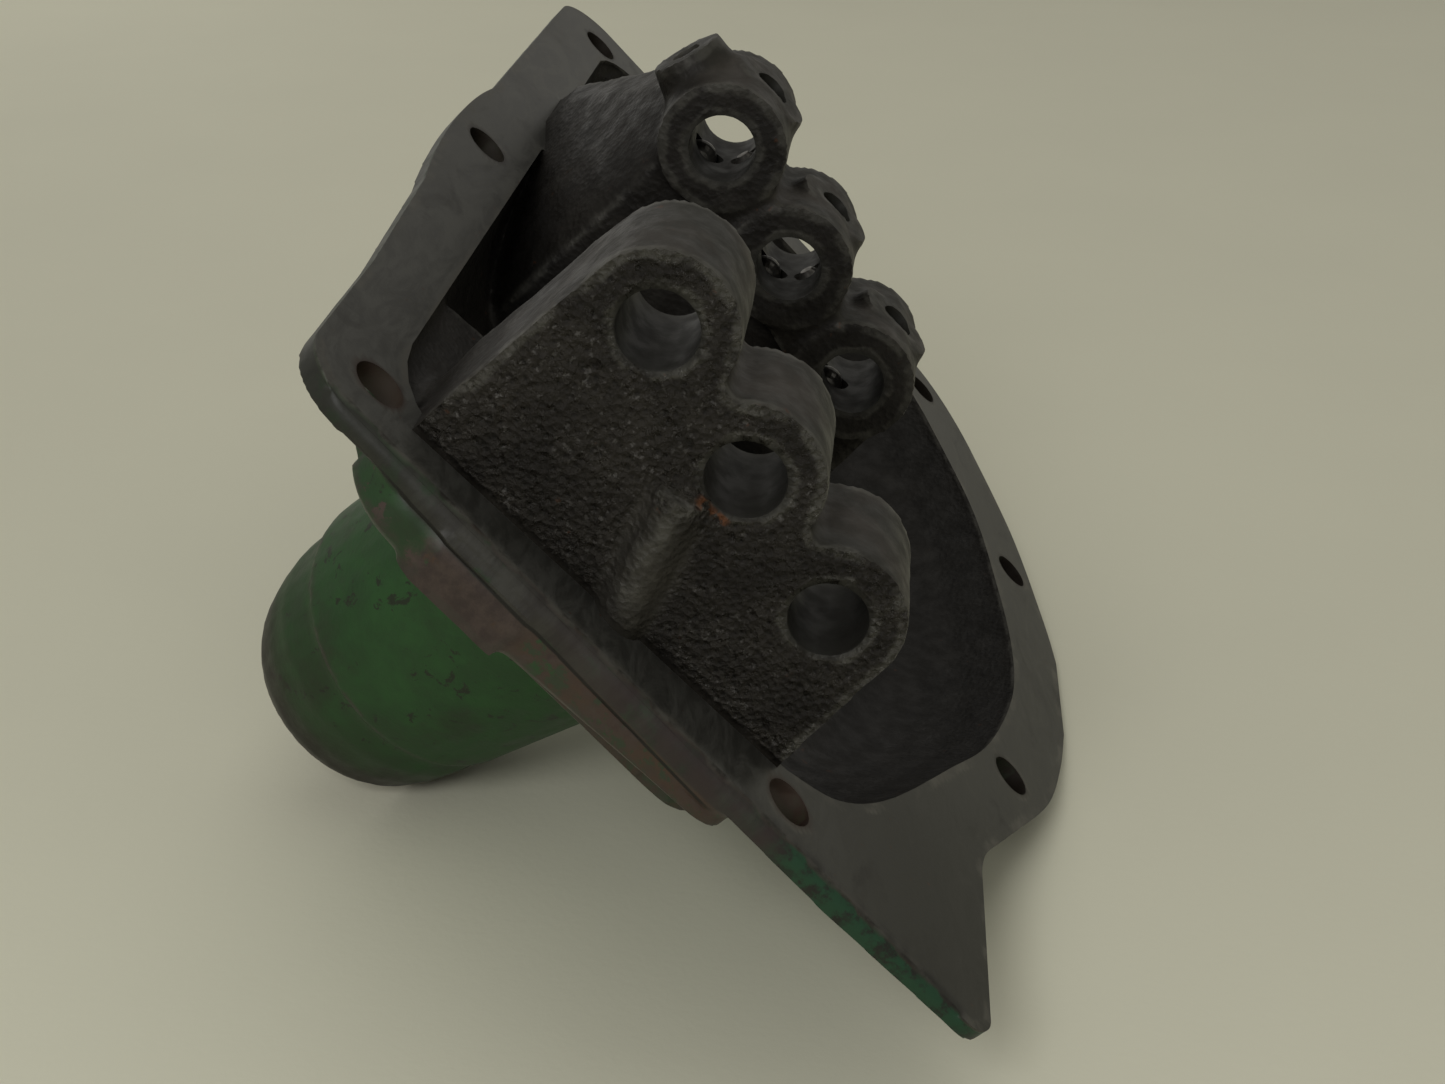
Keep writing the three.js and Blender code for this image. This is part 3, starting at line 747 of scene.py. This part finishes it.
CAMERA_PLACE = (0.06758, -0.55695, 0.35164)
CAMERA_PITCH = math.radians(26.98)
CAMERA_YAW = math.radians(5.534)
LENS = 48.6
SENSOR = 36.0
FLOOR_REACH = 6.0
FLOOR_TONES = (0.665, 0.655, 0.525), (0.70, 0.69, 0.55)
ROOM_COLOUR = (1.0, 0.975, 0.91, 1)
ROOM_STRENGTH = 0.385
WHITE = (1, 1, 1)
WARM = (1.0, 0.985, 0.93)

# Area lights: name, place, what it is aimed at, width in metres, watts and colour.
LIGHTS = (
    ("key", (-0.10, -0.70, 0.55), (0, 0, 0.1), 0.22, 1.8, WHITE),
    ("back", (-0.9, 1.2, 0.6), (0, 0, 0.08), 0.9, 1.2, WARM),
    ("top", (0.1, 0.3, 1.9), (0, 0, 0), 1.8, 4.4, WARM),
)


def floor_material():
    s = Shader("pale_floor")
    colour = s.blend(s.cloud(120.0, detail=3.0), *FLOOR_TONES)
    return s.finish(colour, 0.7, 0.0, s.bump(s.cloud(3.0), 0.0001), specular=0.3)


def area_light(name, place, target, size, power, colour):
    data = bpy.data.lights.new(name, "AREA")
    data.size = size
    data.energy = power
    data.color = colour
    aim = (Vector(target) - Vector(place)).to_track_quat("-Z", "Y").to_euler()
    return add(name, data, place, aim)


def build_stage():
    mesh = bpy.data.meshes.new("floor")
    corners = [(x * FLOOR_REACH, y * FLOOR_REACH, 0)
               for x, y in ((-1, -1), (1, -1), (1, 1), (-1, 1))]
    mesh.from_pydata(corners, [], [(0, 1, 2, 3)])
    mesh.materials.append(floor_material())
    add("floor", mesh)
    world = bpy.data.worlds.new("soft_room")
    world.use_nodes = True
    background = world.node_tree.nodes["Background"]
    background.inputs["Color"].default_value = ROOM_COLOUR
    background.inputs["Strength"].default_value = ROOM_STRENGTH
    bpy.context.scene.world = world
    for light in LIGHTS:
        area_light(*light)
    camera = bpy.data.cameras.new("camera")
    camera.lens = LENS
    camera.sensor_width = SENSOR
    bpy.context.scene.camera = add(
        "camera", camera, CAMERA_PLACE, (math.pi / 2 - CAMERA_PITCH, 0, CAMERA_YAW))
    bpy.context.scene.view_settings.view_transform = "Standard"


# ---- assembly -----------------------------------------------------------------------------

casting = skin_casting(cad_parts["cover_casting"])
casting.data.materials.append(casting_material())
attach(casting, "casting")
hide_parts("cover_casting")

ball_steel, spring_steel, pin_steel, plug_steel = [
    steel_material(*steel) for steel in (BALL_STEEL, SPRING_STEEL, PIN_STEEL, PLUG_STEEL)]
for index in (1, 2, 3):
    finished(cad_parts[f"detent_ball_{index}"].data, ball_steel)
    coil(index, spring_steel)
finished(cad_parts["interlock_pin_12"].data, pin_steel)
finished(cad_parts["interlock_pin_23"].data, pin_steel)
finished(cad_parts["interlock_plug"].data, plug_steel)

build_stage()
